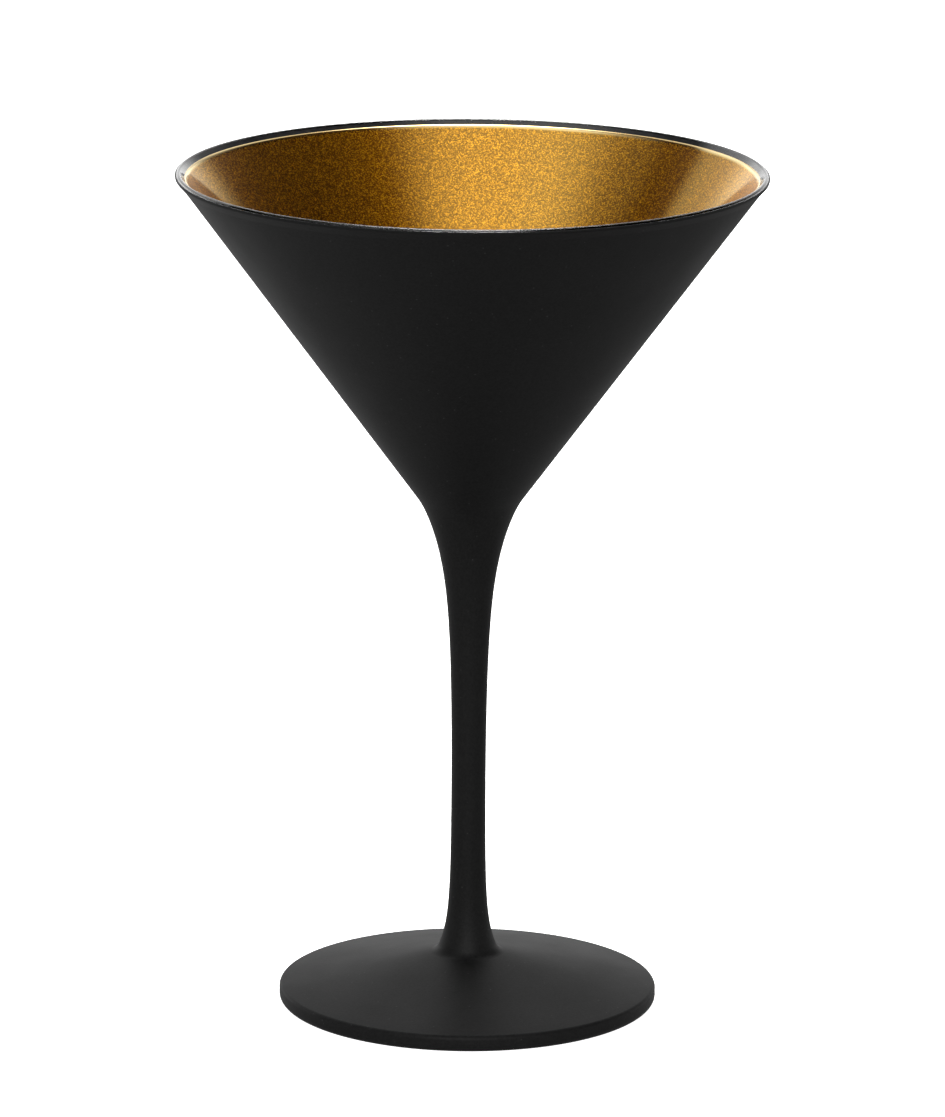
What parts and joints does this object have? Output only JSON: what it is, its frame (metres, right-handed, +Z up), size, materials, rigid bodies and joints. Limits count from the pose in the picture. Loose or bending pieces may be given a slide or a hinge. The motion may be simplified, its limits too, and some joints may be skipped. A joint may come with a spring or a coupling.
{
  "type": "martini glass",
  "caption": "Conical cocktail glass on a slim flared stem and a disc foot, coated matte black outside and metallic gold inside, with a bare glass lip.",
  "frame": {"origin": "centre of the foot, on the surface that the glass stands on", "axes": "+Z up the stem towards the rim; X and Y are free, because the glass is round"},
  "size_m": [0.119, 0.119, 0.1721],
  "materials": {
    "clear_glass": "clear, fire polished",
    "black_lacquer": "matte, very slightly velvety",
    "gold_lacquer": "metallic flake under a gloss surface"
  },
  "bodies": {
    "root": {"glass_bowl": "clear_glass", "glass_stem": "clear_glass", "glass_foot": "clear_glass", "bowl_black_lacquer": "black_lacquer", "stem_black_lacquer": "black_lacquer", "foot_black_lacquer": "black_lacquer", "gold_lining": "gold_lacquer"}
  },
  "joints": []
}
